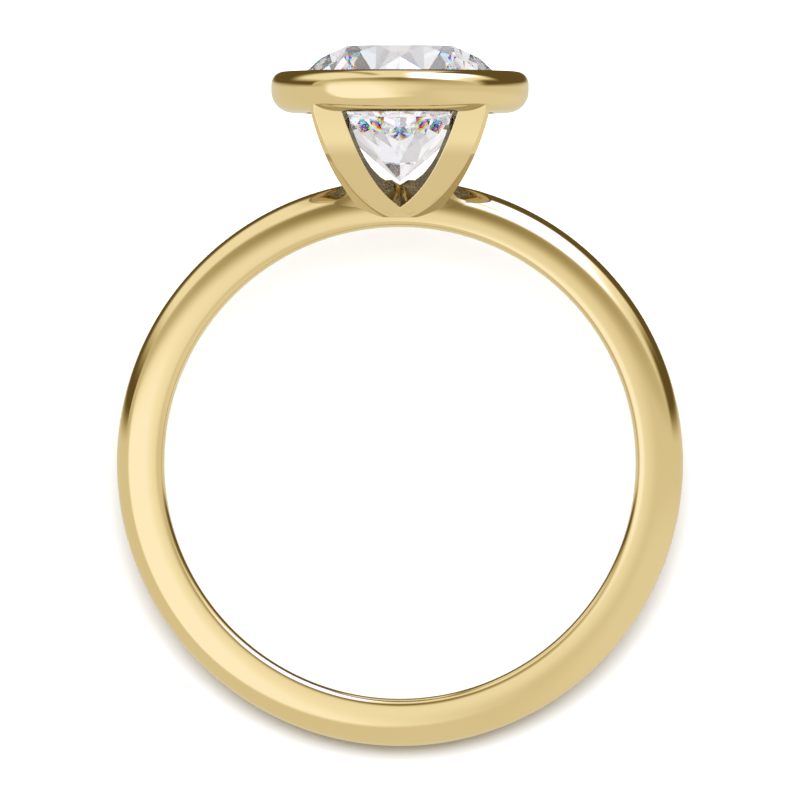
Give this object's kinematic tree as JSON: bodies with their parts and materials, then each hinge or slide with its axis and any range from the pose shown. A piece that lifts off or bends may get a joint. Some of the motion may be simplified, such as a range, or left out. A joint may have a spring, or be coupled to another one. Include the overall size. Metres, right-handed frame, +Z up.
{
  "type": "bezel set engagement ring",
  "caption": "Slim rounded gold band with a round brilliant stone in a smooth bezel collar on a four-arm open basket, lying on its side.",
  "frame": {"origin": "centre of the bounding box on the ground that the ring lies on", "axes": "+Y from the band towards the stone, +Z up from the ground, +X across the band; the finger runs along the mount finger_bore"},
  "size_m": [0.0208, 0.0256, 0.0094],
  "materials": {
    "yellow_gold": "mirror polished yellow gold",
    "clear_stone": "polished facets, colourless"
  },
  "bodies": {
    "root": {"gold_ring": "yellow_gold", "round_stone": "clear_stone"}
  },
  "joints": []
}
